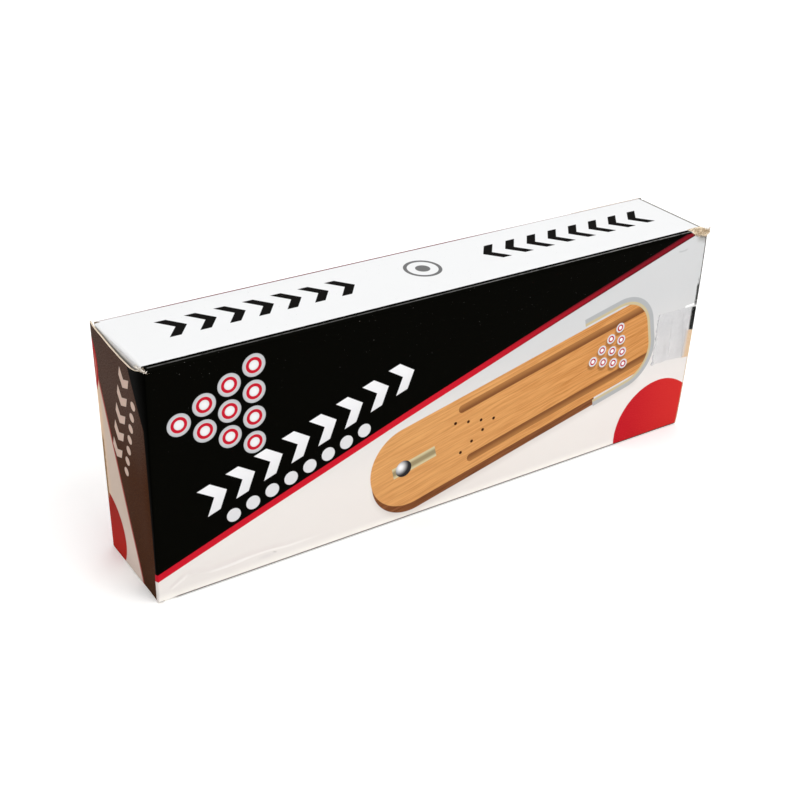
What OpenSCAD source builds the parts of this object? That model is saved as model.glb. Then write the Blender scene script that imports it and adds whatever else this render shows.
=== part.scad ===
// Boxed table bowling game: a folded board carton standing on its long
// narrow side, with the wooden game, its ten pins and its ball inside.
// X runs along the carton, the front panel faces -Y, Z is up.
// The origin is at the centre of the carton's base.

/* [Carton] */
// Outside length of the carton
carton_l = 300; // [296:1:330]
// Outside depth of the carton, front panel to back panel
carton_d = 49; // [49:1:62]
// Outside height of the carton as it stands
carton_h = 111; // [111:1:130]
// Thickness of the carton board
board_t = 0.7; // [0.5:0.1:0.8]

/* [Carton flaps] */
// Length of the tuck flaps
tuck_l = 12; // [8:1:13]
// Length of the dust flaps
dust_l = 24; // [16:1:25]
// Width of the dust flaps at their fold
dust_w = 42; // [34:1:43]
// Width of the glued seam flap
seam_w = 12; // [8:1:16]

/* [Lane] */
// Length of the lane board
lane_l = 262; // [250:1:264]
// Width of the lane board
lane_w = 100; // [90:1:100]
// Thickness of the lane board
lane_t = 12; // [10:0.5:12.5]
// Width of each routed gutter
gutter_w = 13; // [12:0.5:15]
// Depth of each routed gutter
gutter_depth = 6; // [4:0.5:7]
// Radius of the rounded corners at the pin end
corner_r = 34; // [20:1:40]

/* [Pin wall] */
// Thickness of the bent wall
wall_t = 2.4; // [1.5:0.1:2.5]
// Height of the wall over the lane's face at the back
wall_rise = 31; // [24:1:32]
// Length of the wall's legs along the lane
wall_l = 66; // [50:1:70]

/* [Pins and ball] */
// Height of a pin
pin_h = 27; // [24:0.5:28]
// Radius of a pin at its belly
pin_r = 4.2; // [3.6:0.1:4.4]
// Diameter of the ball
ball_d = 12; // [10:0.5:12]

/* [Launch ramp] */
// Length of the ramp
ramp_l = 70; // [60:1:74]
// Width of the ramp
ramp_w = 16; // [14:0.5:18]
// Height of the ramp at its high end
ramp_h = 13; // [11:0.5:14]

/* [Hidden] */
$fn = 96;

t = board_t;
hx = carton_l / 2;
hy = carton_d / 2;
gap = 0.3;                        // clearance between pieces that move
inner_x = hx - t - gap;           // where the closed end flap's inside starts
fold_x = inner_x - t;             // where the top and bottom panels end
slit = 1.0;                       // room for a tuck flap beside its panel
crease = 1.5;                     // unprinted fold width at a tuck flap
tape_t = 0.12;

// The game lies on its side: its lane faces the front panel.
floor_z = 2 * t + 2 * gap + 0.1;  // contents rest over the folded dust flap
head_h = 0.9;                     // wall screw head
lane_y = hy - 3.6;                // underside of the lane
lane_z = floor_z + head_h + wall_t + lane_w / 2;
lane_x0 = -hx + 5;                // round front end of the lane
lane_x1 = lane_x0 + lane_l;       // pin end of the lane
gutter_c = lane_w / 2 - 6 - gutter_w / 2;
screw_u = [lane_x1 - 50, lane_x1 - 36];
pivot_u = lane_x0 + 18;
ramp_lift = 0.3;
slope = atan((ramp_h - 3) / ramp_l);

black = [0.05, 0.05, 0.06];
paper = [0.93, 0.93, 0.93];
kraft = [0.72, 0.62, 0.48];
wood = [0.80, 0.56, 0.30];
pale_wood = [0.84, 0.76, 0.58];
cream = [0.88, 0.86, 0.78];
steel = [0.75, 0.76, 0.78];

// ---------- carton ----------

// A flap outline with its free corners cut back, hinged along y = 0
module flap_outline(w, l, cut) {
    polygon([[-w / 2, 0], [w / 2, 0], [w / 2, l * 0.35], [w / 2 - cut, l],
             [-w / 2 + cut, l], [-w / 2, l * 0.35]]);
}

// A tuck flap's outline with rounded free corners, hinged along y = 0
module tuck_outline(w, l) {
    r = l * 0.6;
    difference() {
        translate([-w / 2, 0]) square([w, l]);
        for (s = [-1, 1]) translate([s * w / 2, l])
            difference() {
                translate([-r, -r]) square([2 * r, 2 * r]);
                translate([-s * r, -r]) circle(r = r);
            }
    }
}

module front_panel() {
    color(black) translate([-hx, -hy, 0])
        cube([hx + inner_x, t, carton_h]);
}

module back_panel() {
    color(black) translate([-inner_x, hy - t, 0])
        cube([hx + inner_x, t, carton_h]);
}

module top_panel() {
    color(paper) translate([-fold_x, -hy + t, carton_h - t])
        cube([2 * fold_x, carton_d - 2 * t, t]);
}

module bottom_panel() {
    color(paper) translate([-fold_x, -hy + t, 0])
        cube([2 * fold_x, carton_d - 2 * t, t]);
}

// Glued inside the back panel along the base
module seam_flap() {
    color(kraft) translate([0, hy - t, t]) rotate([90, 0, 0])
        linear_extrude(t)
            polygon([[-130, 0], [130, 0], [124, seam_w], [-124, seam_w]]);
}

// The closed end's dust flaps, folded down and up behind the end flap
module left_dust_flap_top() {
    color(kraft) translate([-inner_x, 0, carton_h]) rotate([0, 90, 0])
        linear_extrude(t) rotate(-90) flap_outline(dust_w, dust_l, 5);
}

module left_dust_flap_bottom() {
    color(kraft) translate([-inner_x, 0, 0]) rotate([0, 90, 0])
        linear_extrude(t) rotate(90) flap_outline(dust_w, dust_l, 5);
}

// What is left of the clear tape that once closed the right end
module sealing_tape() {
    color([0.9, 0.9, 0.88, 0.5])
        translate([0, -hy, 0]) rotate([90, 0, 0]) linear_extrude(tape_t)
            polygon([[inner_x, 30], [inner_x, 69], [inner_x - 8, 71.5],
                     [inner_x - 15, 69.5], [inner_x - 22, 71],
                     [inner_x - 25.5, 62], [inner_x - 24.5, 50],
                     [inner_x - 27, 36], [inner_x - 24, 30.5],
                     [inner_x - 9, 28.5]]);
}

module left_end_flap() {
    color(black) translate([-hx, -hy + t + gap, 0.8])
        cube([t, carton_d - 2 * t - gap - slit - crease, carton_h - 1.6]);
}

module left_tuck_flap() {
    color(kraft) translate([-hx + t + gap, hy - t - slit, carton_h / 2])
        rotate([90, 0, 0]) linear_extrude(t)
            rotate(-90) tuck_outline(carton_h - 6, tuck_l - 1);
}

// Folded right back against the back panel, inside face out
end_axis_y = hy + gap;
end_hinge_l = end_axis_y + hy - t - slit;
module right_end_flap() {
    color(black) translate([hx - end_hinge_l + crease, end_axis_y, 0.8])
        cube([end_hinge_l - crease - t - 2 * gap, t, carton_h - 1.6]);
}

module right_tuck_flap() {
    color(kraft)
        translate([hx - end_hinge_l - 1, end_axis_y + t, carton_h / 2])
            rotate([90, 0, 0]) linear_extrude(t)
                rotate(90) tuck_outline(carton_h - 6, tuck_l - 1);
}

dust_axis_x = fold_x - gap / 2;
// One dust flap of the open end, folded in flat; up = 1 for the top one
module right_dust_flap(up) {
    z = up > 0 ? carton_h - t - gap - t : t + gap;
    translate([dust_axis_x - 0.5, 0, z])
        linear_extrude(t) rotate(90) flap_outline(dust_w, dust_l, 5);
}

module right_dust_flap_top() {
    color(kraft) right_dust_flap(1);
}

module right_dust_flap_bottom() {
    color(kraft) right_dust_flap(-1);
}

// ---------- game ----------

// Puts a piece drawn on a level lane (x along, y across, z up from its
// underside) into the carton, with the lane on its side.
module on_side() {
    translate([0, lane_y, lane_z]) rotate([90, 0, 0]) children();
}

// Outline of the lane, or of the wall's outside when grown by g
module lane_outline(g) {
    r = lane_w / 2;
    translate([lane_x0 + r, 0]) circle(r = r + g);
    translate([lane_x0 + r, -r - g])
        square([lane_l - r - corner_r, lane_w + 2 * g]);
    translate([lane_x1 - corner_r - 1, -r + corner_r])
        square([corner_r + g + 1, lane_w - 2 * corner_r]);
    for (s = [-1, 1])
        translate([lane_x1 - corner_r, s * (r - corner_r)])
            circle(r = corner_r + g);
}

// One routed gutter, from its round start out through the pin end
module gutter() {
    translate([0, 0, lane_t - gutter_depth]) {
        translate([lane_x0 + 73, 0, 0])
            cylinder(r = gutter_w / 2, h = gutter_depth + 1);
        translate([lane_x0 + 73, -gutter_w / 2, 0])
            cube([lane_l, gutter_w, gutter_depth + 1]);
    }
}

module lane_board() {
    color(wood) on_side() difference() {
        linear_extrude(lane_t) lane_outline(0);
        for (s = [-1, 1]) translate([0, s * gutter_c, 0]) gutter();
        // Aiming dots in a V
        for (k = [0:3], s = [-1, 1])
            if (k > 0 || s > 0)
                translate([lane_x0 + 104 - 14 * k, s * 9.5 * k, lane_t - 1])
                    cylinder(r = 1.1, h = 2);
        translate([pivot_u, 0, lane_t - 8]) cylinder(r = 1.5, h = 9);
        for (u = screw_u, s = [-1, 1])
            translate([u, s * lane_w / 2, lane_t / 2 - 1]) rotate([s * 90, 0, 0])
                cylinder(r = 0.9, h = 8);
    }
}

// Height of the wall's top edge at s, from 0 at the legs' front to 1
function wall_top(s) = (lane_t + wall_rise) * pow(s, 0.55);

module pin_wall() {
    u0 = lane_x1 - wall_l;
    u1 = lane_x1 + wall_t;
    steps = 16;
    color(cream) on_side() difference() {
        intersection() {
            difference() {
                linear_extrude(lane_t + wall_rise) lane_outline(wall_t);
                translate([0, 0, -1])
                    linear_extrude(lane_t + wall_rise + 2) lane_outline(0.05);
            }
            translate([0, lane_w, 0]) rotate([90, 0, 0])
                linear_extrude(2 * lane_w)
                    polygon(concat(
                        [[u0, 0]],
                        [for (i = [1:steps])
                            let (s = pow(i / steps, 1.6))
                            [u0 + s * (wall_l - corner_r / 2), wall_top(s)]],
                        [[u1 + 1, lane_t + wall_rise], [u1 + 1, 0]]));
        }
        for (u = screw_u, s = [-1, 1])
            translate([u, s * (lane_w / 2 + wall_t + 1), lane_t / 2 - 1])
                rotate([s * 90, 0, 0]) cylinder(r = 1.0, h = wall_t + 2);
    }
}

// Two small screws through each leg of the wall
module wall_screws() {
    color(steel) on_side()
        for (u = screw_u, s = [-1, 1])
            translate([u, s * (lane_w / 2 + wall_t), lane_t / 2 - 1])
                rotate([s * 90, 0, 0]) {
                    cylinder(r = 0.9, h = wall_t + 8);
                    translate([0, 0, -head_h]) difference() {
                        cylinder(r1 = 1.3, r2 = 2, h = head_h);
                        translate([-3, -0.25, -1]) cube([6, 0.5, 1.4]);
                    }
                }
}

// The ramp, drawn about its pivot with its foot at z = 0
module launch_ramp() {
    back = 11;
    front = ramp_l - back;
    color(pale_wood) on_side()
        translate([pivot_u, 0, lane_t + ramp_lift]) difference() {
            intersection() {
                translate([0, ramp_w / 2, 0]) rotate([90, 0, 0])
                    linear_extrude(ramp_w)
                        polygon([[-back, 0], [-back, ramp_h],
                                 [front, 3], [front, 0]]);
                linear_extrude(ramp_h) {
                    circle(r = back);
                    translate([0, -ramp_w / 2]) square([front, ramp_w]);
                }
            }
            // Track for the ball, parallel to the sloping top
            translate([-back, 0, ramp_h + 3.6]) rotate([0, 90 + slope, 0])
                translate([0, 0, -10]) cylinder(r = 6.4, h = ramp_l + 30);
            // Pivot bore with room for the pin's head
            translate([0, 0, -1]) cylinder(r = 1.65, h = ramp_h + 2);
            translate([0, 0, 5.2]) cylinder(r = 3.4, h = ramp_h);
        }
}

module ramp_pivot_pin() {
    color(steel) on_side() translate([pivot_u, 0, lane_t]) {
        translate([0, 0, -8]) cylinder(r = 1.5, h = 8 + ramp_lift + 5.4);
        translate([0, 0, ramp_lift + 5.4]) cylinder(r1 = 2.9, r2 = 2.2, h = 1.2);
    }
}

// Ball at rest on the carton's floor, near the closed end
ball_x = -hx + 25;
ball_y = -9;
module ball() {
    color(steel) translate([ball_x, ball_y, floor_z + ball_d / 2])
        sphere(r = ball_d / 2);
}

// Half outline of a pin: radius against height, both as shares
pin_shape = [
    [0.56, 0.00], [0.64, 0.02], [0.80, 0.10], [0.93, 0.20], [1.00, 0.31],
    [0.99, 0.40], [0.88, 0.50], [0.68, 0.60], [0.50, 0.68], [0.42, 0.74],
    [0.43, 0.80], [0.51, 0.86], [0.56, 0.91], [0.53, 0.95], [0.40, 0.985],
    [0.00, 1.00]
];
pin_tilt = 5;

// A pin on its side, its belly at (x, y), turned by yaw
module lying_pin(x, y, yaw) {
    color([0.95, 0.95, 0.95])
        translate([x, y, floor_z + pin_r + 0.1]) rotate([0, 90 + pin_tilt, yaw])
            translate([0, 0, -0.36 * pin_h])
                rotate_extrude($fn = 64)
                    polygon(concat([[0, 0]],
                        [for (p = pin_shape) [p[0] * pin_r, p[1] * pin_h]]));
}

module pin_1() { lying_pin(-54, 3.6, 4); }
module pin_2() { lying_pin(-17.5, 3.4, 176); }
module pin_3() { lying_pin(3.5, 3.6, -5); }
module pin_4() { lying_pin(39.5, 3.7, 183); }
module pin_5() { lying_pin(-40, -7.0, 171); }
module pin_6() { lying_pin(-19, -7.4, 6); }
module pin_7() { lying_pin(18, -7.0, 184); }
module pin_8() { lying_pin(-45, -18.1, -7); }
module pin_9() { lying_pin(-8.5, -17.9, 186); }
module pin_10() { lying_pin(13, -18.2, 3); }

front_panel();
top_panel();
back_panel();
bottom_panel();
seam_flap();
left_dust_flap_top();
left_dust_flap_bottom();
sealing_tape();
left_end_flap();
left_tuck_flap();
right_end_flap();
right_tuck_flap();
right_dust_flap_top();
right_dust_flap_bottom();
lane_board();
pin_wall();
wall_screws();
ramp_pivot_pin();
launch_ramp();
ball();
pin_1();
pin_2();
pin_3();
pin_4();
pin_5();
pin_6();
pin_7();
pin_8();
pin_9();
pin_10();
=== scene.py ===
import math
import bpy
import bmesh
import numpy as np
from mathutils import Vector, Matrix, noise


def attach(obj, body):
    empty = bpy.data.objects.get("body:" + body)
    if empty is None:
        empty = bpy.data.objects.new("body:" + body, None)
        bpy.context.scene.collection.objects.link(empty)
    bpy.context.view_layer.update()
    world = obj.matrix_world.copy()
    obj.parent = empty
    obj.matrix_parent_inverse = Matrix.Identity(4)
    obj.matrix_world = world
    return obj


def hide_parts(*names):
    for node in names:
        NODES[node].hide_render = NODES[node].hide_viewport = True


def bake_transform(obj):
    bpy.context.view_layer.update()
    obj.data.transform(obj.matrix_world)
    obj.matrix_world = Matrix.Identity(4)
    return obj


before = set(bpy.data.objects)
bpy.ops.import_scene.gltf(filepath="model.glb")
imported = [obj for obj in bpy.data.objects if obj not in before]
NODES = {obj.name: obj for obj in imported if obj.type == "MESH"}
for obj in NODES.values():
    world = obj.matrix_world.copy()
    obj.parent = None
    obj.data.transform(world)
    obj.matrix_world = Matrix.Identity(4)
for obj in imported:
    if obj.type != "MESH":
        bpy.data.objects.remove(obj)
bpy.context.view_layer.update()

MM = 0.001

# ---------------------------------------------------------------- sizes, mm
L, D, H, T = 300.0, 49.0, 111.0, 0.7
HX, HY = L / 2, D / 2
LANE_Y = HY - 3.6          # underside of the lane, which lies on its side
LANE_T = 12.0
LANE_W = 100.0
LANE_Z = 2.1 + 0.9 + 2.4 + LANE_W / 2
LANE_X0 = -HX + 5
LANE_X1 = LANE_X0 + 262
FLOOR_Z = 2.1
PIN_H, PIN_R = 27.0, 4.2
SLOPE = 0.342              # rise of the printed stripe


# ------------------------------------------------------------ shader helper
class Tree:
    """Short names for the nodes that a material here is made of."""

    def __init__(self, name):
        self.mat = bpy.data.materials.new(name)
        self.mat.use_nodes = True
        self.nt = self.mat.node_tree
        self.nt.nodes.clear()
        self.out = self.nt.nodes.new("ShaderNodeOutputMaterial")
        self.bsdf = self.nt.nodes.new("ShaderNodeBsdfPrincipled")
        self.nt.links.new(self.bsdf.outputs[0], self.out.inputs["Surface"])

    def put(self, socket, value):
        if isinstance(value, bpy.types.NodeSocket):
            self.nt.links.new(value, socket)
        else:
            socket.default_value = value

    def m(self, op, a, b=None, c=None, clamp=False):
        n = self.nt.nodes.new("ShaderNodeMath")
        n.operation = op
        n.use_clamp = clamp
        for i, x in enumerate((a, b, c)):
            if x is not None:
                self.put(n.inputs[i], x)
        return n.outputs[0]

    def add(self, a, b): return self.m("ADD", a, b)
    def sub(self, a, b): return self.m("SUBTRACT", a, b)
    def mul(self, a, b, clamp=False): return self.m("MULTIPLY", a, b, clamp=clamp)
    def div(self, a, b): return self.m("DIVIDE", a, b)
    def mx(self, a, b): return self.m("MAXIMUM", a, b)
    def mn(self, a, b): return self.m("MINIMUM", a, b)
    def ab(self, a): return self.m("ABSOLUTE", a)
    def mad(self, a, b, c): return self.m("MULTIPLY_ADD", a, b, c)

    def inv(self, a): return self.m("SUBTRACT", 1.0, a, clamp=True)

    def ss(self, x, e0, e1, t0=0.0, t1=1.0):
        """Smooth step of x from e0 to e1."""
        n = self.nt.nodes.new("ShaderNodeMapRange")
        n.interpolation_type = "SMOOTHSTEP"
        n.clamp = True
        self.put(n.inputs["Value"], x)
        self.put(n.inputs["From Min"], e0)
        self.put(n.inputs["From Max"], e1)
        n.inputs["To Min"].default_value = t0
        n.inputs["To Max"].default_value = t1
        return n.outputs["Result"]

    def dist(self, x, y, cx, cy):
        n = self.nt.nodes.new("ShaderNodeVectorMath")
        n.operation = "DISTANCE"
        self.put(n.inputs[0], self.vec(x, y, 0.0))
        n.inputs[1].default_value = (cx, cy, 0.0)
        return n.outputs["Value"]

    def disc(self, x, y, cx, cy, r, soft=0.15):
        return self.ss(self.dist(x, y, cx, cy), r + soft, r - soft)

    def span(self, x, lo, hi, soft=0.15):
        """1 where x lies between lo and hi."""
        mid, half = (lo + hi) / 2, (hi - lo) / 2
        return self.ss(self.ab(self.sub(x, mid)), half + soft, half - soft)

    def turned(self, x, y, cx, cy, deg):
        """Coordinates along and across an axis through (cx, cy)."""
        c, s = math.cos(math.radians(deg)), math.sin(math.radians(deg))
        dx, dy = self.sub(x, cx), self.sub(y, cy)
        return (self.add(self.mul(dx, c), self.mul(dy, s)),
                self.sub(self.mul(dy, c), self.mul(dx, s)))

    def vec(self, x, y, z):
        n = self.nt.nodes.new("ShaderNodeCombineXYZ")
        for i, q in enumerate((x, y, z)):
            self.put(n.inputs[i], q)
        return n.outputs[0]

    def split(self, v):
        n = self.nt.nodes.new("ShaderNodeSeparateXYZ")
        self.put(n.inputs[0], v)
        return n.outputs[0], n.outputs[1], n.outputs[2]

    def uv(self, name="print"):
        n = self.nt.nodes.new("ShaderNodeUVMap")
        n.uv_map = name
        x, y, _ = self.split(n.outputs[0])
        return self.mul(x, 100.0), self.mul(y, 100.0)

    def obj(self):
        n = self.nt.nodes.new("ShaderNodeTexCoord")
        v = self.nt.nodes.new("ShaderNodeVectorMath")
        v.operation = "SCALE"
        self.nt.links.new(n.outputs["Object"], v.inputs[0])
        v.inputs["Scale"].default_value = 1000.0
        return v.outputs[0]

    def noise(self, vector, scale, detail=3.0, rough=0.55, kind="FBM", dist=0.0):
        n = self.nt.nodes.new("ShaderNodeTexNoise")
        n.noise_dimensions = "3D"
        self.put(n.inputs["Vector"], vector)
        n.inputs["Scale"].default_value = scale
        n.inputs["Detail"].default_value = detail
        n.inputs["Roughness"].default_value = rough
        n.inputs["Distortion"].default_value = dist
        return n.outputs["Fac"]

    def scaled(self, vector, x, y, z):
        n = self.nt.nodes.new("ShaderNodeVectorMath")
        n.operation = "MULTIPLY"
        self.put(n.inputs[0], vector)
        n.inputs[1].default_value = (x, y, z)
        return n.outputs[0]

    def mix(self, f, a, b):
        n = self.nt.nodes.new("ShaderNodeMix")
        n.data_type = "RGBA"
        n.clamp_factor = True
        self.put(n.inputs[0], f)
        for i, q in ((6, a), (7, b)):
            if isinstance(q, tuple) and len(q) == 3:
                q = (*q, 1.0)
            self.put(n.inputs[i], q)
        return n.outputs[2]

    def mixf(self, f, a, b):
        n = self.nt.nodes.new("ShaderNodeMix")
        n.data_type = "FLOAT"
        n.clamp_factor = True
        self.put(n.inputs[0], f)
        self.put(n.inputs[2], a)
        self.put(n.inputs[3], b)
        return n.outputs[0]

    def bump(self, height, strength, distance, normal=None):
        n = self.nt.nodes.new("ShaderNodeBump")
        n.inputs["Strength"].default_value = strength
        n.inputs["Distance"].default_value = distance
        self.put(n.inputs["Height"], height)
        if normal is not None:
            self.put(n.inputs["Normal"], normal)
        return n.outputs["Normal"]

    def finish(self, color=None, rough=None, normal=None, **const):
        b = self.bsdf.inputs
        if color is not None:
            self.put(b["Base Color"], color if isinstance(color, bpy.types.NodeSocket) else (*color, 1.0))
        if rough is not None:
            self.put(b["Roughness"], rough)
        if normal is not None:
            self.put(b["Normal"], normal)
        for k, v in const.items():
            self.put(b[k.replace("_", " ")], v)
        return self.mat


def srgb(r, g, b):
    """A colour given as 0-255 display values, in scene-linear."""
    def f(c):
        c = c / 255.0
        return c / 12.92 if c <= 0.04045 else ((c + 0.055) / 1.055) ** 2.4
    return (f(r), f(g), f(b))


# ------------------------------------------------------------------- print
def chevrons(t, p, q, p0, count, pitch, wide, half, lean=0.8):
    """A row of whole chevrons along p, half tall each way in q."""
    at = t.add(p, t.mul(t.ab(q), lean))
    run = t.m("FLOORED_MODULO", t.sub(at, p0), pitch)
    bar = t.mul(t.ss(run, 0.2, 0.5), t.ss(run, wide + 0.5, wide + 0.2))
    return t.mul(bar, t.mul(t.span(q, -half, half), t.span(at, p0, p0 + count * pitch, 0.05)))


def dots(t, p, q, p0, p1, pitch, r, q0=0.0):
    """A row of round dots along p."""
    run = t.sub(t.m("FLOORED_MODULO", t.sub(p, p0), pitch), pitch / 2)
    d = t.m("SQRT", t.add(t.mul(run, run), t.m("POWER", t.sub(q, q0), 2.0)))
    return t.mul(t.ss(d, r + 0.15, r - 0.15), t.span(p, p0, p1, 0.01))


def print_material():
    t = Tree("printed_board")
    u, v = t.uv()
    uvw = t.vec(u, v, 0.0)
    fine = t.noise(uvw, 0.9, 4.0)
    grain = t.noise(uvw, 1.7, 2.0)
    ragged = t.noise(uvw, 0.45, 5.0, 0.65)
    fibre = t.noise(t.vec(t.mul(t.add(u, t.mul(v, 0.7)), 0.35), t.mul(t.sub(v, t.mul(u, 0.4)), 1.6), 2.0), 0.9, 5.0, 0.7)

    shaded_white = srgb(204, 205, 206)
    warm = srgb(230, 225, 221)
    black = srgb(6, 6, 4)
    red = srgb(196, 28, 44)
    dark_red = srgb(122, 24, 34)

    def large_panel(u, v, seed):
        """The art of a large panel: v from its bottom fold, u from -150 to 150."""
        sag = t.m("POWER", t.mul(t.add(u, 32.0), 0.01), 2.0)
        line = t.sub(v, t.add(t.mad(t.add(u, 150.0), SLOPE, 13.45), t.mul(sag, -0.72)))
        # painted light: the white ground is painted darker and cooler towards the top as painted shade, and brighter
        # just above the base fold as painted light
        ground = t.mix(t.ss(v, 22.0, 84.0), warm, shaded_white)
        ground = t.mix(t.ss(v, 5.0, 0.6), ground, srgb(246, 242, 236))
        col = t.mix(t.ss(line, -0.2, 0.2), ground, black)
        stripe = t.span(line, -1.8, 1.8, 0.22)
        stripe_col = t.mix(t.ss(u, -20.0, 120.0), red, dark_red)
        stripe_col = t.mix(t.mul(t.ss(t.ab(line), 0.5, 1.5), t.ss(u, 0.0, 110.0)), stripe_col, srgb(92, 18, 28))
        # rack of ten ringed discs in the dark part
        rings = None
        for row in range(4):
            for k in range(row + 1):
                d = t.dist(u, v, -137.0 + row * 11.2, 83.2 + (k - row / 2) * 12.0)
                rings = d if rings is None else t.mn(rings, d)
        disc = t.ss(rings, 5.35, 5.05)
        ring = t.mul(t.ss(rings, 3.75, 3.5), t.ss(rings, 2.1, 2.35))
        tone = t.mix(t.ss(rings, 0.5, 5.2), srgb(232, 232, 233), srgb(186, 187, 190))
        col = t.mix(disc, col, tone)
        col = t.mix(t.mul(ring, disc), col, srgb(190, 28, 46))
        # lane arrows and dots, parallel to the stripe
        p, q = t.turned(u, v, -62.0, 60.5, 18.9)
        arrows = chevrons(t, p, t.sub(q, 4.3), -63.0, 8, 14.0, 6.2, 7.2)
        marks = dots(t, p, q, -63.0, 15.0, 9.75, 3.3, -9.8)
        light = t.mix(t.ss(q, -12.0, 14.0), srgb(214, 214, 216), srgb(236, 236, 238))
        col = t.mix(t.mx(arrows, marks), col, light)
        col = t.mix(stripe, col, stripe_col)
        # plan of a lane, in wood tones, on the white part
        p, q = t.turned(u, v, 37.0, 43.0, 13.5)
        r = 21.0
        end = t.dist(p, q, -63.0, 0.0)
        body = t.mul(t.span(q, -r, r, 0.2), t.span(p, -63.0, 84.0, 0.2))
        ax = t.mx(t.sub(p, 67.0), 0.0)
        ay = t.mx(t.sub(t.ab(q), 5.5), 0.0)
        rr = t.m("SQRT", t.add(t.mul(ax, ax), t.mul(ay, ay)))
        inside = t.mx(t.ss(p, 67.2, 66.8), t.ss(rr, 16.9, 16.6))
        lane = t.mx(t.mul(body, inside), t.ss(end, r + 0.2, r - 0.2))
        wob = t.noise(t.vec(t.mul(p, 0.02), t.mul(q, 0.1), seed), 1.0, 2.0)
        grains = t.noise(t.vec(t.mul(p, 0.05), t.add(q, t.mul(wob, 5.0)), seed), 0.9, 5.0, 0.6)
        plank = t.m("FLOORED_MODULO", t.add(q, 50.0), 5.25)
        wood = t.mix(t.ss(grains, 0.3, 0.75), srgb(216, 156, 94), srgb(184, 120, 64))
        wood = t.mix(t.mul(t.ss(plank, 0.32, 0.12), 0.45), wood, srgb(140, 88, 50))
        wood = t.mix(t.mul(t.ss(p, 60.0, -60.0), 0.25), wood, srgb(226, 178, 120))
        under = t.mx(t.mul(t.span(t.add(q, 4.0), -r, r, 0.2), t.span(p, -63.0, 46.0, 0.2)),
                     t.ss(t.dist(p, q, -63.0, -4.0), r + 0.2, r - 0.2))
        shadow = t.mx(t.mul(t.span(t.add(q, 6.2), -r, r, 2.6), t.span(p, -66.0, 74.0, 3.0)),
                      t.ss(t.dist(p, q, -63.0, -6.4), r + 2.6, r - 2.0))
        col = t.mix(t.mul(shadow, 0.22), col, srgb(150, 140, 132))
        col = t.mix(under, col, t.mix(t.ss(grains, 0.3, 0.8), srgb(134, 84, 52), srgb(92, 54, 34)))
        col = t.mix(lane, col, wood)
        gut = t.mul(t.mul(t.span(t.ab(q), 12.4, 16.6, 0.2), t.span(p, -30.0, 84.0, 0.2)), inside)
        for s in (-1, 1):
            gut = t.mx(gut, t.disc(p, q, -30.0, s * 14.5, 2.1, 0.2))
        gut_col = t.mix(t.ss(t.ab(q), 12.6, 16.4), srgb(124, 78, 46), srgb(164, 112, 66))
        col = t.mix(gut, col, gut_col)
        vd = None
        for k in range(4):
            for s in (-1, 1):
                if k == 0 and s < 0:
                    continue
                d = t.dist(p, q, -14.0 - 7.0 * k, s * 2.9 * k)
                vd = d if vd is None else t.mn(vd, d)
        col = t.mix(t.ss(vd, 0.95, 0.7), col, srgb(60, 34, 22))
        # wall round the far end, seen from above
        wall = t.mul(t.mul(t.ss(rr, 20.7, 20.4), t.ss(rr, 16.4, 16.7)), t.ss(p, 44.8, 45.1))
        col = t.mix(wall, col, t.mix(t.ss(rr, 17.9, 18.3), srgb(196, 182, 146), srgb(172, 174, 176)))
        # ten pins from above, each over its soft shadow
        pd, sd = None, None
        for row in range(4):
            for k in range(row + 1):
                x, y = 47.5 + row * 6.2, (k - row / 2) * 7.2
                d = t.dist(p, q, x, y)
                e = t.dist(p, q, x - 0.8, y - 1.3)
                pd = d if pd is None else t.mn(pd, d)
                sd = e if sd is None else t.mn(sd, e)
        col = t.mix(t.mul(t.ss(sd, 3.6, 2.2), 0.5), col, srgb(110, 62, 36))
        col = t.mix(t.ss(pd, 2.75, 2.5), col, t.mix(t.ss(pd, 0.6, 2.7), srgb(242, 242, 243), srgb(204, 204, 208)))
        col = t.mix(t.mul(t.ss(pd, 1.85, 1.7), t.ss(pd, 0.95, 1.1)), col, srgb(178, 34, 50))
        # ball on its short ramp
        ramp = t.mul(t.span(q, -2.9, 2.9, 0.15), t.span(p, -72.0, -48.0, 0.15))
        col = t.mix(ramp, col, t.mix(t.ss(t.ab(q), 0.6, 2.4), srgb(150, 136, 104), srgb(202, 190, 152)))
        bd = t.dist(p, q, -66.0, 0.0)
        shine = t.dist(p, q, -67.4, 1.6)
        ball = t.mix(t.ss(shine, 0.2, 4.6), srgb(240, 240, 242), srgb(44, 42, 44))
        col = t.mix(t.ss(bd, 4.4, 4.15), col, ball)
        # plain red disc in the corner
        rd = t.dist(u, v, 131.6, 4.2)
        rim = t.noise(t.vec(u, v, 3.0), 0.5, 3.0)
        red_disc = t.mul(t.ss(t.add(rd, t.mul(rim, 0.25)), 27.45, 27.1), t.ss(v, -1.6, -1.2))
        disc_col = t.mix(t.ss(u, 104.0, 150.0), srgb(182, 22, 37), srgb(202, 45, 43))
        disc_col = t.mix(t.mul(t.ss(grain, 0.42, 0.62), 0.35), disc_col, srgb(212, 60, 55))
        col = t.mix(red_disc, col, disc_col)
        return col, line, t.ss(line, -0.2, 0.2)

    # front, back (the same art turned about), ends, top and bottom
    is_back = t.ss(v, 159.95, 160.05)
    front, line, dark = large_panel(t.mul(u, t.mad(is_back, -2.0, 1.0)),
                                    t.mixf(is_back, v, t.sub(271.0, v)), 0.0)
    # across an end from its fold: the closed end left of -150, the open end's
    # flap right of 151.2, with the same art turned about
    side = t.mx(t.sub(-150.0, u), t.sub(u, 150.8))
    at_left = t.ss(u, 0.0, -1.0)
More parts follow.
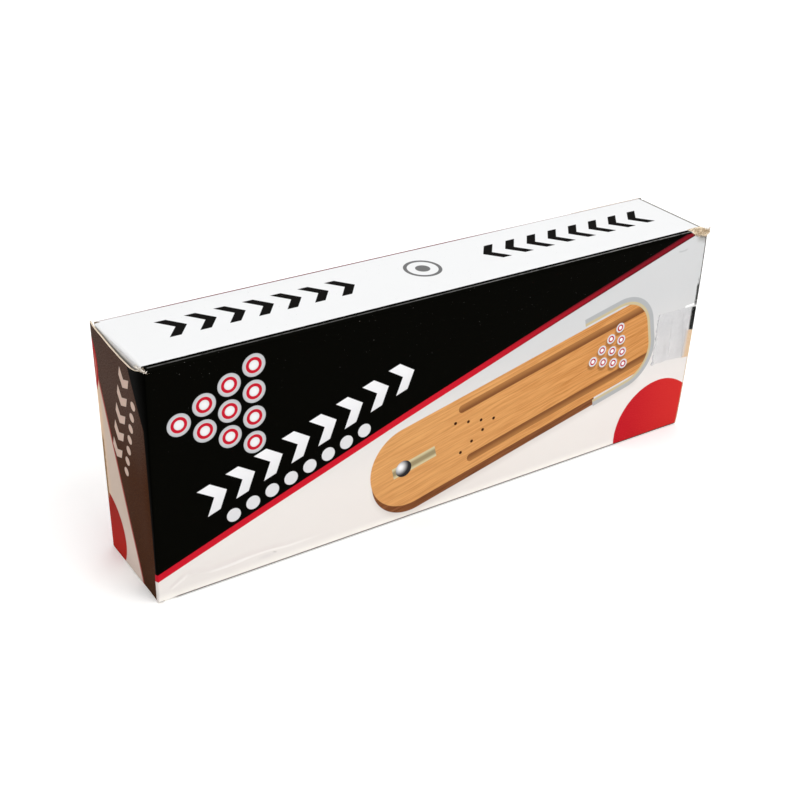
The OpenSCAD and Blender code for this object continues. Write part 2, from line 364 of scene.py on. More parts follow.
    # dark towards the fold, white towards the far edge and the base
    e = t.sub(side, t.mad(v, 0.342, 15.4))
    # painted reflection: the end's black ink is painted brown and grainy as glare off it; it stays black only in the
    # band at the fold, where the curve catches no glare
    ink_with_glare = t.mix(t.ss(v, 50.0, 94.0), srgb(72, 36, 8), srgb(85, 64, 55))
    ink_with_glare = t.mix(t.mul(t.ss(grain, 0.42, 0.58), 0.6), ink_with_glare, srgb(46, 24, 10))
    ink_with_glare = t.mix(t.mul(t.ss(fine, 0.56, 0.68), 0.2), ink_with_glare, srgb(112, 82, 64))
    band = t.add(t.mad(v, 0.018, 1.4), t.mul(t.m("MAXIMUM", t.sub(v, 83.0), 0.0), 0.36))
    ink_with_glare = t.mix(t.ss(side, t.add(band, 0.5), t.sub(band, 0.5)), ink_with_glare, srgb(2, 2, 1))
    # painted shade: the end's white paper is painted darker and warmer than the front's white, and brighter near the
    # base as painted light
    shaded_paper = t.mix(t.ss(side, 42.0, 49.0), srgb(208, 190, 176), srgb(232, 200, 166))
    shaded_paper = t.mix(t.ss(v, 34.0, 4.0), shaded_paper, srgb(222, 206, 196))
    end_col = t.mix(t.ss(e, -0.2, 0.2), ink_with_glare, shaded_paper)
    end_col = t.mix(t.mul(t.span(e, -0.75, 0.75, 0.3), 0.8), end_col, srgb(168, 66, 62))
    sliver = t.sub(side, t.add(t.mul(t.m("POWER", t.sub(v, 92.5), 2.0), 0.022), 44.3))
    core = t.mul(t.span(sliver, 1.5, 2.6, 0.4), t.span(v, 85.0, 97.0, 3.0))
    sliver_col = t.mix(t.mul(core, 0.6), srgb(172, 34, 40), srgb(216, 150, 128))
    end_col = t.mix(t.ss(sliver, -0.15, 0.25), end_col, t.mix(t.ss(side, 47.6, 48.3), sliver_col, srgb(128, 20, 30)))
    disc_c = t.mix(t.ss(v, 0.0, 28.0), srgb(188, 28, 22), srgb(160, 32, 26))
    disc_c = t.mix(t.mul(t.ss(grain, 0.42, 0.66), 0.45), disc_c, srgb(142, 46, 28))
    end_col = t.mix(t.disc(side, v, 52.2, 10.4, 20.4, 0.25), end_col, disc_c)
    # the tuck flaps carry no ink past their crease
    plain = t.ss(t.add(side, t.mul(ragged, 1.2)), 50.6, 51.0)
    end_col = t.mix(plain, end_col, t.mix(t.ss(fibre, 0.3, 0.7), srgb(222, 214, 203), srgb(200, 190, 176)))
    ep, eq = t.turned(side, v, 25.4, 74.0, -71.0)
    end_art = chevrons(t, ep, t.sub(eq, 0.7), -27.0, 5, 10.4, 4.6, 4.3)
    end_dots = dots(t, ep, eq, -24.0, 22.2, 6.6, 2.0, -8.9)
    # the white chevrons and dots are painted in the same shaded warm white
    end_col = t.mix(t.mx(end_art, end_dots), end_col, srgb(206, 182, 168))
    # bare board where the flap's far edge is rubbed
    worn_edge = t.mul(t.ss(t.add(side, t.mul(ragged, 2.0)), 46.6, 47.4), t.span(v, 27.0, 58.0, 3.0))
    end_col = t.mix(t.mul(worn_edge, at_left), end_col, srgb(150, 120, 84))
    # the front's ink runs a little way round the fold
    line0 = t.sub(v, t.mad(side, -0.342, 12.8))
    wrap = t.ss(t.add(side, t.mul(ragged, 0.5)), 2.7, 2.3)
    wrap_col = t.mix(t.ss(line0, -0.2, 0.2), warm, black)
    wrap_col = t.mix(t.span(line0, -1.8, 1.8, 0.22), wrap_col, red)
    end_col = t.mix(t.mul(t.mul(wrap, at_left), t.ss(line0, 2.2, 1.6)), end_col, wrap_col)
    # top: the dark ink wraps over the front fold, the rest is white
    across = t.sub(v, 111.0)
    over = t.mul(t.ss(t.add(across, t.mul(ragged, 0.3)), 3.95, 3.7), t.ss(u, 140.5, 139.0))
    top_art = t.mx(chevrons(t, u, t.sub(v, 139.5), -124.0, 7, 13.4, 5.2, 7.6),
                   chevrons(t, t.mul(u, -1.0), t.sub(v, 139.5), -128.0, 8, 12.9, 5.2, 7.6))
    rc = t.dist(u, v, -2.0, 139.5)
    top_art = t.mx(top_art, t.mul(t.mul(t.ss(rc, 9.0, 8.8), t.ss(rc, 7.1, 7.3)), 0.8))
    top_art = t.mx(top_art, t.mul(t.ss(rc, 3.6, 3.3), 0.8))
    top_col = t.mix(top_art, srgb(225, 226, 227), srgb(20, 19, 18))
    top_col = t.mix(over, top_col, black)
    is_top = t.mul(t.ss(v, 110.95, 111.05), t.ss(v, 160.0, 159.9))
    is_end = t.mul(t.ss(u, -149.9, -150.1), t.mul(t.ss(v, 112.0, 111.8), t.ss(v, 0.0, 0.1)))
    is_bottom = t.ss(v, 0.0, -0.1)
    col = front
    col = t.mix(is_bottom, col, t.mix(t.ss(v, -1.6, -1.2), srgb(240, 240, 240), col))
    col = t.mix(is_top, col, top_col)
    col = t.mix(is_end, col, end_col)

    # wear: scuffed folds, torn ink at the corners, marks; with painted shade, shadow and highlights at folds, creases
    # and torn edges
    grey = srgb(150, 150, 148)
    on_front_u = t.ss(u, -148.8, -147.8)
    crest_d = t.ab(t.sub(v, 112.5))
    broken = t.ss(t.noise(t.vec(t.mul(u, 0.45), v, 1.0), 0.5, 5.0, 0.7), 0.30, 0.58, 0.12, 1.0)
    # the grey line along the front-top crest is partly scuffed wear, partly a painted highlight
    scuff_and_highlight = t.mul(t.mul(t.ss(crest_d, 0.6, 0.2), broken), on_front_u)
    col = t.mix(t.mul(scuff_and_highlight, t.ss(u, -60.0, 130.0, 0.28, 0.72)), col, grey)
    specks = t.mul(t.ss(t.noise(t.vec(u, v, 9.0), 1.3, 2.0), 0.74, 0.77), t.mul(dark, t.ss(v, 60.0, 112.0, 0.0, 0.6)))
    col = t.mix(t.mul(specks, on_front_u), col, srgb(120, 118, 116))
    # painted shade: the top's back fold is painted as a thin dark red line, its right fold as a grey line
    back_fold_shade = t.mul(t.ss(t.ab(t.sub(v, 159.1)), 1.0, 0.6), t.ss(u, 20.0, 80.0, 1.0, 0.4))
    col = t.mix(t.mul(back_fold_shade, t.ss(u, -149.0, -105.0, 0.4, 1.0)), col, srgb(108, 38, 46))
    right_fold_shade = t.mul(t.span(u, 147.3, 149.6, 0.3), t.span(v, 112.5, 160.5, 0.4))
    col = t.mix(t.mul(right_fold_shade, 0.9), col, srgb(104, 100, 92))
    # base fold of the front: a dark line, partly rubbed wear, partly painted shade where the fold turns under
    base_fold_wear_and_shade = t.mul(t.ss(t.ab(t.sub(v, 0.1)), 0.95, 0.55), t.ss(u, -145.0, -140.0))
    col = t.mix(t.mul(base_fold_wear_and_shade, 0.95), col, srgb(74, 62, 46))
    # creased white corner near the base: painted shade in a greyish band above the crease and a painted highlight line
    # below it, the same on the short ridge
    crease_shade_col = srgb(214, 204, 202)
    crease_v = t.add(t.mul(t.ss(u, -119.0, -105.0), 0.7), 8.1)
    crease_v = t.add(crease_v, t.mul(t.ss(u, -124.0, -137.0), 2.1))
    crease_v = t.sub(crease_v, t.mul(t.ss(u, -100.0, -86.0), 1.2))
    above = t.sub(v, crease_v)
    run = t.mul(t.ss(u, -138.5, -135.0), t.ss(u, -72.0, -100.0))
    col = t.mix(t.mul(t.mul(t.ss(above, 3.2, 0.4), t.ss(above, -0.2, 0.3)), t.mul(run, 0.34)), col, crease_shade_col)
    col = t.mix(t.mul(t.span(above, -1.1, -0.3, 0.6), t.mul(t.mul(t.ss(u, -132.0, -118.0), t.ss(u, -66.0, -92.0)), 0.6)),
                col, srgb(253, 250, 247))
    rp, rq = t.turned(u, v, -140.4, 8.0, 33.0)
    ridge_light_mask = t.mul(t.span(rp, -4.4, 3.8, 1.2), 0.36)
    col = t.mix(t.mul(ridge_light_mask, t.span(rq, 0.0, 1.3, 0.5)), col, crease_shade_col)
    col = t.mix(t.mul(ridge_light_mask, t.span(rq, -1.1, -0.2, 0.4)), col, srgb(252, 248, 244))
    # torn, fibrous corner of the open end: bare tan board, with painted shadow in grey under it and a darker painted
    # shade line along its lower edge
    to_corner = t.sub(t.add(u, t.mul(t.sub(v, 111.0), 0.25)), t.mul(t.sub(ragged, 0.5), 4.0))
    low_edge = t.add(t.sub(110.4, t.mul(t.sub(u, 139.5), 0.33)), t.mul(t.sub(fibre, 0.5), 2.6))
    bare = t.mul(t.ss(to_corner, 139.8, 140.6), t.mul(t.ss(v, t.sub(low_edge, 0.2), t.add(low_edge, 0.2)),
                                                       t.ss(t.add(v, t.mul(fibre, 1.6)), 116.6, 115.8)))
    tan = t.mix(t.ss(fibre, 0.36, 0.56), srgb(158, 138, 112), srgb(228, 212, 186))
    below_tan_edge = t.sub(t.sub(low_edge, v), 0.0)
    corner_shadow = t.mul(t.mul(t.ss(below_tan_edge, 4.6, 1.2), t.ss(below_tan_edge, -0.3, 0.1)), t.ss(u, 141.5, 145.5))
    corner_shadow = t.mul(corner_shadow, t.ss(v, 101.0, 104.0))
    col = t.mix(t.mul(corner_shadow, 0.75), col, t.mix(fine, srgb(168, 166, 162), srgb(132, 130, 126)))
    shade = t.mul(t.mul(t.span(below_tan_edge, -0.1, 0.9, 0.3), t.ss(u, 139.0, 141.0)), t.ss(u, 151.5, 150.0))
    col = t.mix(t.mul(shade, 0.6), col, srgb(90, 84, 78))
    col = t.mix(bare, col, tan)
    stroke = t.mul(t.span(t.sub(v, t.mad(t.m("POWER", t.mul(t.sub(u, 134.0), 0.3), 2.0), 0.5, 102.2)), -0.3, 0.3, 0.5),
                   t.span(u, 131.6, 137.2, 1.0))
    col = t.mix(t.mul(stroke, 0.5), col, srgb(150, 152, 154))
    # ink torn away with the tape on the right edge
    rag_u = t.add(u, t.mul(t.sub(t.noise(t.vec(u, v, 7.0), 0.35, 3.0), 0.5), 1.6))
    flake_v = t.add(v, t.mul(t.sub(ragged, 0.5), 1.2))
    soft = t.ss(rag_u, 145.6, 147.2)
    col = t.mix(t.mul(soft, t.span(flake_v, 56.6, 69.7, 0.35)), col, srgb(20, 20, 18))
    col = t.mix(t.mul(t.ss(rag_u, 144.8, 145.2), t.span(flake_v, 41.0, 56.6, 0.35)), col,
                t.mix(fine, srgb(226, 198, 166), srgb(198, 168, 134)))
    # painted shadow: a grey line along the left edge of the bare tan patch
    col = t.mix(t.mul(t.span(rag_u, 144.4, 145.1, 0.3), t.mul(t.span(v, 41.0, 57.5, 0.8), 0.45)), col, srgb(120, 112, 104))
    col = t.mix(t.mul(t.span(t.sub(v, t.mul(t.sub(u, 142.0), 0.16)), 69.7, 70.9, 0.3), t.ss(u, 141.6, 142.6)), col,
                srgb(250, 250, 250))
    # the open edge itself: dark broken line above, thin tan line below
    edge_r = t.ss(u, 148.1, 148.6)
    edge_r = t.mx(edge_r, t.mul(t.ss(t.add(u, ragged), 147.7, 148.2), t.span(v, 69.5, 84.0, 3.0)))
    col = t.mix(t.mul(t.mul(edge_r, t.ss(v, 70.0, 71.0)), t.mul(t.ss(v, 108.0, 107.0),
                t.ss(t.noise(t.vec(u, t.mul(v, 0.7), 3.0), 0.16, 3.0), 0.36, 0.52, 0.25, 0.95))), col, srgb(44, 44, 42))
    col = t.mix(t.mul(t.mul(edge_r, t.ss(v, 41.0, 40.0)), 0.7), col, srgb(196, 168, 136))
    # where tape lifted the gloss: a slightly greyer white; painted shade in two faint upright lines along the tape's
    # creases
    lifted = t.mul(t.ss(t.add(u, t.mul(ragged, 1.5)), 124.8, 125.8), t.span(flake_v, 41.5, 69.5, 0.6))
    lifted = t.mul(lifted, t.ss(u, 146.6, 146.0))
    col = t.mix(t.mul(lifted, 0.5), col, srgb(203, 203, 205))
    for u0, lean, v0, v1 in ((134.8, -0.045, 44.0, 66.0), (143.0, -0.14, 41.5, 66.0)):
        d = t.sub(t.add(u, t.mul(t.sub(v, 55.0), -lean)), u0)
        col = t.mix(t.mul(t.mul(t.span(d, -0.2, 0.25, 0.25), t.span(v, v0, v1, 1.0)), 0.4), col, srgb(150, 150, 152))
    # grey mark on the white part
    mark_p, mark_q = t.turned(u, v, -94.4, 6.2, -25.0)
    mark = t.mul(t.span(mark_p, -0.9, 0.9, 0.8), t.span(mark_q, -0.2, 0.2, 0.5))
    col = t.mix(t.mul(mark, 0.45), col, srgb(120, 116, 118))
    smear = t.disc(t.mul(u, 0.25), v, -24.6, 5.6, 0.9, 0.8)
    col = t.mix(t.mul(smear, 0.2), col, srgb(190, 184, 188))

    # the open end's flap, past its fold
    right_end = t.mul(t.ss(u, 150.9, 151.3), t.mul(t.ss(v, 112.0, 111.8), t.ss(v, 0.0, 0.1)))
    col = t.mix(right_end, col, end_col)
    bare = t.mul(bare, t.inv(right_end))

    worn = t.mx(t.mul(scuff_and_highlight, 0.7), bare)
    rough = t.mixf(worn, t.mad(fine, 0.10, 0.28), 0.85)
    h = t.add(t.mul(t.noise(uvw, 2.2, 2.0), 0.35), t.noise(uvw, 0.25, 3.0))
    h = t.add(h, t.mul(bare, t.mul(fibre, 4.0)))
    nrm = t.bump(h, 0.16, 0.00022)
    return t.finish(col, rough, nrm, IOR=1.15, Specular_IOR_Level=0.03)


def raw_board_material(name, light, dark, scale=1.0):
    t = Tree(name)
    o = t.obj()
    fib = t.noise(t.scaled(o, 0.35, 1.2, 1.0), 1.1 * scale, 6.0, 0.7)
    blot = t.noise(o, 0.09 * scale, 3.0)
    fleck = t.ss(t.noise(o, 1.9 * scale, 2.0), 0.66, 0.72)
    col = t.mix(t.ss(fib, 0.3, 0.72), light, dark)
    col = t.mix(t.mul(t.ss(blot, 0.4, 0.75), 0.3), col, dark)
    col = t.mix(t.mul(fleck, 0.35), col, srgb(92, 80, 66))
    nrm = t.bump(t.add(fib, t.mul(fleck, 0.4)), 0.35, 0.0001)
    return t.finish(col, t.mad(fib, 0.12, 0.80), nrm, IOR=1.4)


def tape_material():
    t = Tree("clear_tape")
    u, v = t.uv()
    streak = t.noise(t.vec(t.mul(u, 0.6), t.mul(v, 0.05), 0.0), 0.5, 3.0, 0.5)
    fog = t.noise(t.vec(u, v, 4.0), 0.10, 2.0, 0.5)
    col = t.mix(t.ss(streak, 0.35, 0.7), srgb(206, 206, 209), srgb(240, 240, 242))
    alpha = t.mad(t.ss(fog, 0.35, 0.7), 0.08, 0.05)
    alpha = t.mx(alpha, t.mul(t.ss(streak, 0.60, 0.72), 0.22))
    alpha = t.mx(alpha, t.mul(t.ss(t.add(u, t.mul(fog, 2.0)), 126.6, 125.4), 0.35))
    alpha = t.mul(alpha, t.ss(u, 146.6, 144.6, 0.12, 1.0))
    nrm = t.bump(t.add(streak, fog), 0.2, 0.0003)
    m = t.finish(col, t.mad(streak, 0.15, 0.2), nrm, IOR=1.3)
    t.put(t.bsdf.inputs["Alpha"], alpha)
    return m


def fibre_material(name, light, dark):
    t = Tree(name)
    o = t.obj()
    n = t.noise(o, 1.6, 4.0)
    col = t.mix(t.ss(n, 0.35, 0.65), light, dark)
    return t.finish(col, t.mad(n, 0.1, 0.85), t.bump(n, 0.4, 0.0001), IOR=1.4)


def wood_material(name, light, mid, dark, side=None, rough=0.34, grain=1.0, coat=0.15):
    """Long-grained wood, its grain along X."""
    t = Tree(name)
    o = t.obj()
    wob = t.noise(t.scaled(o, 0.012, 0.05, 0.05), 1.0, 2.0)
    x, y, z = t.split(o)
    zz = t.add(z, t.mul(wob, 16.0))
    yy = t.add(y, t.mul(wob, 6.0))
    bands = t.noise(t.vec(t.mul(x, 0.012), t.mul(yy, 0.35), t.mul(zz, 0.35)), 1.0 * grain, 5.0, 0.62)
    pores = t.noise(t.vec(t.mul(x, 0.10), t.mul(yy, 2.4), t.mul(zz, 2.4)), 1.0 * grain, 3.0, 0.6)
    col = t.mix(t.ss(bands, 0.32, 0.55), light, mid)
    col = t.mix(t.mul(t.ss(bands, 0.55, 0.72), 0.7), col, dark)
    col = t.mix(t.mul(t.ss(pores, 0.58, 0.72), 0.45), col, dark)
    if side is not None:
        n = t.nt.nodes.new("ShaderNodeTexCoord")
        _, ny, _ = t.split(n.outputs["Normal"])
        flat = t.ss(t.ab(ny), 0.5, 0.8)
        face = t.ss(ny, -0.2, -0.6)
        col = t.mix(t.inv(flat), col, t.mix(t.ss(bands, 0.3, 0.7), side[0], side[1]))
    nrm = t.bump(t.add(t.mul(pores, 0.6), bands), 0.22, 0.00012)
    return t.finish(col, t.mad(pores, 0.18, rough - 0.06), nrm, Coat_Weight=coat, Coat_Roughness=0.22, IOR=1.45)


def wall_material(name, light, dark):
    t = Tree(name)
    o = t.obj()
    fib = t.noise(t.scaled(o, 0.2, 0.2, 1.4), 0.6, 5.0, 0.6)
    blot = t.noise(o, 0.05, 3.0)
    col = t.mix(t.ss(fib, 0.3, 0.75), light, dark)
    col = t.mix(t.mul(t.ss(blot, 0.45, 0.8), 0.25), col, dark)
    return t.finish(col, t.mad(fib, 0.15, 0.42), t.bump(fib, 0.2, 0.00012), IOR=1.45)


def pin_material():
    t = Tree("pin_lacquer")
    o = t.obj()
    x, y, z = t.split(o)
    n = t.noise(o, 0.35, 3.0)
    col = t.mix(t.ss(n, 0.35, 0.7), srgb(240, 240, 241), srgb(228, 227, 226))
    edge = t.add(z, t.mul(t.sub(t.noise(o, 0.8, 2.0), 0.5), 0.35))
    band = t.span(edge, 0.665 * PIN_H, 0.795 * PIN_H, 0.12)
    col = t.mix(band, col, t.mix(n, srgb(196, 26, 38), srgb(172, 20, 34)))
    chip = t.ss(t.noise(o, 0.9, 4.0), 0.70, 0.73)
    col = t.mix(t.mul(chip, t.ss(z, 2.0, 0.2)), col, srgb(205, 176, 130))
    return t.finish(col, t.mad(n, 0.10, 0.12), t.bump(n, 0.10, 0.0002), Coat_Weight=0.5, Coat_Roughness=0.06, IOR=1.5)


def metal_material(name, light, dark, rough, scale):
    t = Tree(name)
    o = t.obj()
    n = t.noise(o, scale, 4.0)
    hair = t.noise(t.scaled(o, 0.3, 3.0, 3.0), scale, 3.0)
    col = t.mix(t.ss(n, 0.35, 0.7), light, dark)
    return t.finish(col, t.mad(hair, 0.14, rough), t.bump(hair, 0.08, 0.00004), Metallic=1.0)


def floor_material():
    t = Tree("studio_floor")
    o = t.obj()
    n = t.noise(o, 0.004, 2.0)
    col = t.mix(n, (0.93, 0.93, 0.93), (0.95, 0.95, 0.95))
    m = t.finish(col, t.mad(n, 0.1, 0.75), t.bump(n, 0.02, 0.001), IOR=1.3)
    # painted light: the floor glows, faintly near the box to lighten its shadow and more further out
    t.put(t.bsdf.inputs["Emission Color"], (1.0, 1.0, 1.0, 1.0))
    x, y, _ = t.split(o)
    t.put(t.bsdf.inputs["Emission Strength"], t.ss(t.dist(x, y, 0.0, 0.0), 700.0, 2600.0, 0.16, 0.6))
    return m


PRINT = print_material()
RAW = raw_board_material("raw_board", srgb(186, 172, 152), srgb(156, 140, 118))
EDGE = raw_board_material("raw_board_edge", srgb(222, 208, 188), srgb(184, 168, 148), 1.6)
TAPE = tape_material()
FIBRE = fibre_material("torn_fibre", srgb(240, 236, 230), srgb(206, 196, 184))
TAN_FIBRE = fibre_material("torn_fibre_tan", srgb(232, 216, 190), srgb(176, 152, 122))
LANE = wood_material("lane_wood", srgb(218, 160, 96), srgb(204, 142, 80), srgb(160, 100, 54),
                     side=(srgb(150, 92, 52), srgb(112, 66, 36)))
RAMP = wood_material("ramp_wood", srgb(226, 206, 166), srgb(212, 188, 146), srgb(176, 146, 104),
                     rough=0.55, grain=1.4, coat=0.0)
WALL_IN = wall_material("wall_inside", srgb(222, 208, 172), srgb(196, 178, 138))
WALL_OUT = wall_material("wall_outside", srgb(206, 206, 204), srgb(180, 180, 178))
PIN = pin_material()
CHROME = metal_material("ball_chrome", (0.80, 0.80, 0.82), (0.72, 0.72, 0.74), 0.03, 0.25)
STEEL = metal_material("screw_steel", (0.62, 0.62, 0.64), (0.46, 0.46, 0.47), 0.22, 1.2)


# ------------------------------------------------------------ bent boards
def fillet(points, radii, params, step, arc=6, side=1):
    """Outer profile of a bent board through sharp points: positions, outward
    normals and the print coordinate of each station. radii[i] rounds points[i];
    side 1 puts the outside to the left of travel. step is a length, or a
    function of the print coordinate."""
    P, N, V = [], [], []
    pts = [np.array(p, float) for p in points]

    def normal(d):
        return side * np.array([-d[1], d[0]])

    def straight(a, b, va, vb, n):
        length = np.linalg.norm(b - a)
        s = 0.0
        stops = [0.0]
        while True:
            v = va + (vb - va) * s / max(length, 1e-9)
            h = step(v) if callable(step) else step
            if s + h * 1.3 >= length:
                break
            s += h
            stops.append(s)
        stops.append(length)
        for q in stops:
            f = q / max(length, 1e-9)
            P.append(a + (b - a) * f)
            N.append(n)
            V.append(va + (vb - va) * f)

    here, vhere = pts[0], params[0]
    for i in range(1, len(pts)):
        d = pts[i] - pts[i - 1]
        d = d / np.linalg.norm(d)
        r = radii[i] if i < len(pts) - 1 else 0.0
        if r:
            d2 = pts[i + 1] - pts[i]
            d2 = d2 / np.linalg.norm(d2)
            cut = r * math.tan(math.acos(max(-1, min(1, float(d @ d2)))) / 2)
            scale = (params[i] - params[i - 1]) / np.linalg.norm(pts[i] - pts[i - 1])
            a = pts[i] - d * cut
            va = params[i] - cut * scale
            straight(here, a, vhere, va, normal(d))
            scale2 = (params[i + 1] - params[i]) / np.linalg.norm(pts[i + 1] - pts[i])
            b = pts[i] + d2 * cut
            vb = params[i] + cut * scale2
            n1, n2 = normal(d), normal(d2)
            convex = (d[0] * d2[1] - d[1] * d2[0]) * side < 0
            centre = a - n1 * r if convex else a + n1 * r
            for k in range(1, arc):
                f = k / arc
                ang = math.acos(max(-1, min(1, float(n1 @ n2)))) * f
                turn = math.copysign(1, n1[0] * n2[1] - n1[1] * n2[0])
                c, s = math.cos(ang * turn), math.sin(ang * turn)
                n = np.array([c * n1[0] - s * n1[1], s * n1[0] + c * n1[1]])
                P.append(centre + (n if convex else -n) * r)
                N.append(n)
                V.append(va + (vb - va) * f)
            here, vhere = b, vb
        else:
            straight(here, pts[i], vhere, params[i], normal(d))
    return np.array(P), np.array(N), np.array(V)


def make_object(name, verts, faces, mats, face_mats, uvs=None, smooth=True, sharp=()):
    me = bpy.data.meshes.new(name)
    me.from_pydata([tuple(p) for p in verts], [], faces)
    for m in mats:
        me.materials.append(m)
    me.polygons.foreach_set("material_index", face_mats)
    me.polygons.foreach_set("use_smooth", [smooth] * len(faces))
    if uvs is not None:
        layer = me.uv_layers.new(name="print")
        loop_vert = np.zeros(len(me.loops), np.int32)
        me.loops.foreach_get("vertex_index", loop_vert)
        layer.data.foreach_set("uv", (np.asarray(uvs, np.float32) / 100.0)[loop_vert].ravel())
    me.update()
    if len(sharp):
        wanted = set(frozenset(e) for e in sharp)
        flags = [frozenset(e.vertices) in wanted for e in me.edges]
        attr = me.attributes.new("sharp_edge", "BOOLEAN", "EDGE")
        attr.data.foreach_set("value", flags)
    ob = bpy.data.objects.new(name, me)
    bpy.context.scene.collection.objects.link(ob)
    return ob


def board(name, P, N, V, A, plane, uv, mats=(None, None, None), thick=T, shift=None):
    """A bent board. P, N: outer profile in the plane; A[j, i]: places along the
    fold axis. plane maps (p0, p1, a) to x, y, z. uv(V, a) gives print mm."""
    m, n = A.shape
    outer = np.zeros((m, n, 3))
    nor = np.zeros((m, n, 3))
    uvs = np.zeros((m, n, 2))
    for j in range(m):
        for i in range(n):
            a = A[j, i]
            outer[j, i] = plane(P[j][0], P[j][1], a)
            nor[j, i] = np.array(plane(N[j][0], N[j][1], 0.0))
            uvs[j, i] = uv(V[j], a)
    if shift is not None:
        for j in range(m):
            for i in range(n):
                outer[j, i] += shift(uvs[j, i][0], uvs[j, i][1], nor[j, i])
    inner = outer - nor * thick
    verts = np.concatenate([outer.reshape(-1, 3), inner.reshape(-1, 3)]) * MM
    alluv = np.concatenate([uvs.reshape(-1, 2)] * 2)
    k = m * n

    def o(j, i): return j * n + i
    def q(j, i): return k + j * n + i

    faces, fm, sharp = [], [], []
    # which way round is outward
    a, b, c = outer[0, 0], outer[1, 0], outer[0, 1]
    flip = np.dot(np.cross(b - a, c - a), nor[0, 0]) < 0
    for j in range(m - 1):
        for i in range(n - 1):
            f = [o(j, i), o(j + 1, i), o(j + 1, i + 1), o(j, i + 1)]
            g = [q(j, i), q(j, i + 1), q(j + 1, i + 1), q(j + 1, i)]
            if flip:
                f.reverse()
                g.reverse()
            faces += [f, g]
            fm += [0, 1]
    ring = [(0, i) for i in range(n)] + [(j, n - 1) for j in range(1, m)] + \
           [(m - 1, i) for i in range(n - 2, -1, -1)] + [(j, 0) for j in range(m - 2, 0, -1)]
    for s in range(len(ring)):
        r0, r1 = ring[s], ring[(s + 1) % len(ring)]
        f = [o(*r0), o(*r1), q(*r1), q(*r0)]
        if flip:
            f.reverse()
        faces.append(f)
        fm.append(2)
        sharp += [(o(*r0), o(*r1)), (q(*r0), q(*r1))]
    for c0 in ((0, 0), (0, n - 1), (m - 1, n - 1), (m - 1, 0)):
        sharp.append((o(*c0), q(*c0)))
    ob = make_object(name, verts, faces, mats, fm, alluv, True, sharp)
    return ob


def columns(lo, hi, fixed):
    """Places along the fold axis: ends that follow lo and hi, the rest fixed."""
    m = len(lo)
    A = np.zeros((m, len(fixed) + 2))
    for j in range(m):
        A[j, 0], A[j, -1] = lo[j], hi[j]
        A[j, 1:-1] = fixed
    return A


def even(lo, hi, n):
    lo, hi = np.asarray(lo, float), np.asarray(hi, float)
    s = np.linspace(0, 1, n)
    return lo[:, None] + (hi - lo)[:, None] * s[None, :]


# creases pressed into the front near its base, in print mm
RIDGE = [(-142.2, 3.2), (-140.0, 6.8), (-135.6, 10.6), (-123.2, 7.7), (-112.5, 7.4),
         (-103.0, 9.1), (-89.7, 10.2), (-78.0, 10.3)]


def ridge_height(u, v):
    best, along = 1e9, 0.0
    sign = 1.0
    n = len(RIDGE) - 1
    for k in range(n):
        (ax, ay), (bx, by) = RIDGE[k], RIDGE[k + 1]
        dx, dy = bx - ax, by - ay
        s = max(0.0, min(1.0, ((u - ax) * dx + (v - ay) * dy) / (dx * dx + dy * dy)))
        px, py = ax + s * dx, ay + s * dy
        d = math.hypot(u - px, v - py)
        if d < best:
            best, along = d, (k + s) / n
            sign = 1.0 if (dx * (v - ay) - dy * (u - ax)) > 0 else -1.0
    fade = min(1.0, along * 6 + 0.25) * (1.0 - max(0.0, (along - 0.55) / 0.45)) ** 1.2
    h = 0.42 * math.exp(-(best / 1.1) ** 1.4)
    if sign < 0:
        h += 0.30 * math.exp(-best / 4.0)
    else:
        h -= 0.16 * math.exp(-((best - 2.4) / 1.6) ** 2)
    return h * fade


def wave(u, v, seed, scale=0.02, amount=0.25):
    return amount * noise.noise(Vector((u * scale, v * scale, seed)))


def tube_shift(u, v, nor):
    if v < -49.5:
        return nor * 0.0
    ex = max(0.0, math.cos(math.pi * u / 300.0)) ** 0.7
    if v < 0:
        q, amount = (v + 49.0) / 49.0, -0.10
    elif v < 111:
        q, amount = v / 111.0, -0.22
    elif v < 160:
        q, amount = (v - 111.0) / 49.0, -0.30
    else:
        q, amount = (v - 160.0) / 111.0, -0.25
    inside = max(0.0, math.sin(math.pi * min(1.0, max(0.0, q))))
    d = amount * ex * inside + wave(u, v, 3.0) * inside * ex
    if 0 < v < 20 and u < -60:
        d += ridge_height(u, v) * min(1.0, v / 2.0)
    if 0 < v < 111 and u > 134:
        # the open edge springs outward a little
        d += 1.4 * ((u - 134.0) / 15.0) ** 2 * math.sin(math.pi * v / 111.0) ** 0.45
    return nor * d


def tube_step(v):
    if 1.0 < v < 17:
        return 0.9
    if 40 < v < 72:
        return 3.0
    if 102 < v < 109.2:
        return 0.5
    return 4.0


P, N, V = fillet([(23.8, 12.7), (23.8, 0.0), (-24.5, 0.0), (-24.5, 111.0), (24.5, 111.0), (24.5, 0.1)],
                 [0, 0.9, 0.7, 1.9, 1.2, 0], [-61.0, -48.3, 0.0, 111.0, 160.0, 270.9], tube_step, arc=8)
lo = np.interp(V, [-61, -49.25, -47.4, -0.9, 0.9, 109.2, 109.5, 113.3, 113.8, 157.3, 157.9, 161.3, 162.3, 270.9],
               [-124, -130, -147.5, -147.5, -147.2, -147.2, -149.6, -149.6, -147.5, -147.5, -150.0, -150.0, -148.5, -148.5])
hi = np.interp(V, [-61, -49.25, -47.4, -1.0, -0.6, 0.9, 108.1, 108.9, 110.7, 111.5, 113.3, 113.8, 157.3, 157.9, 161.3, 162.3, 270.9],
               [124, 130, 147.9, 147.9, 148.8, 148.92, 148.92, 150.7, 150.8, 148.9, 148.9, 147.9, 147.9, 149.2, 149.2, 149.0, 149.0])
fixed = np.concatenate([np.arange(-146.0, -60.0, 1.3), np.arange(-60.0, 118.0, 4.0), np.arange(118.0, 146.6, 2.0)])
A = columns(lo, hi, fixed)
